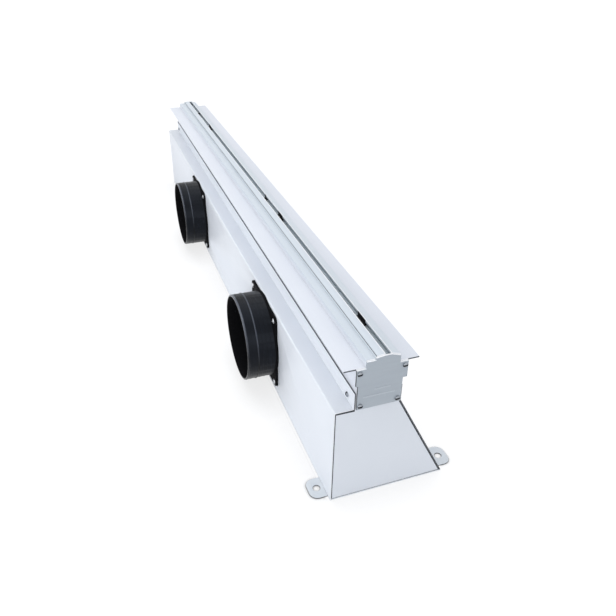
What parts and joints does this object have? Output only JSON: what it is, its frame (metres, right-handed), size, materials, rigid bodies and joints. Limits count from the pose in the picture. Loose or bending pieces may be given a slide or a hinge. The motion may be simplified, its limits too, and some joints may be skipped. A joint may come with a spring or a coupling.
{
  "type": "linear slot diffuser",
  "caption": "Linear slot diffuser for a plastered ceiling: slot profile with turning vanes on a sloped sheet plenum with round duct spigots and fixing lugs.",
  "frame": {"origin": "middle of the base plate's underside", "axes": "+Z from the base plate towards the slot, +Y along the slot to the far end, +X across from the duct spigots to the sloping side"},
  "size_m": [0.1901, 1.0076, 0.1816],
  "materials": {
    "white_sheet": "satin white powder coat on sheet steel",
    "white_profile": "satin white powder coat on an extrusion",
    "grey_cap": "satin mill grey",
    "grey_vane": "dull grey",
    "black_plastic": "satin moulded black plastic",
    "screw_steel": "bright zinc plate",
    "rivet_aluminium": "plain aluminium"
  },
  "bodies": {
    "housing": {"base_plate": "white_sheet", "straight_side_sheet": "white_sheet", "sloping_side_sheet": "white_sheet", "end_plate_near": "white_sheet", "end_plate_far": "white_sheet", "duct_spigot_near": "black_plastic", "duct_spigot_far": "black_plastic", "slot_profile_left": "white_profile", "slot_profile_right": "white_profile", "end_cap_near": "grey_cap", "end_cap_far": "grey_cap", "vane_holder_1": "black_plastic", "vane_holder_2": "black_plastic", "vane_holder_3": "black_plastic", "vane_bearing_1": "black_plastic", "vane_bearing_2": "black_plastic", "cap_screws_near": "screw_steel", "cap_screws_far": "screw_steel", "neck_screws_straight_side": "screw_steel", "neck_screws_sloping_side": "screw_steel", "spigot_rivets_near": "rivet_aluminium", "spigot_rivets_far": "rivet_aluminium"},
    "vane_near": {"vane_near": "grey_vane"},
    "vane_far": {"vane_far": "grey_vane"}
  },
  "joints": [
    {"name": "vane_near_turn", "type": "hinge", "parent": "housing", "child": "vane_near", "pos_m": [-0.0146, -0.2919, 0.1675], "axis": [0, 1, 0], "range_deg": [-70, 10]},
    {"name": "vane_far_turn", "type": "hinge", "parent": "housing", "child": "vane_far", "pos_m": [-0.0146, 0.2069, 0.1675], "axis": [0, 1, 0], "range_deg": [-70, 10]}
  ]
}
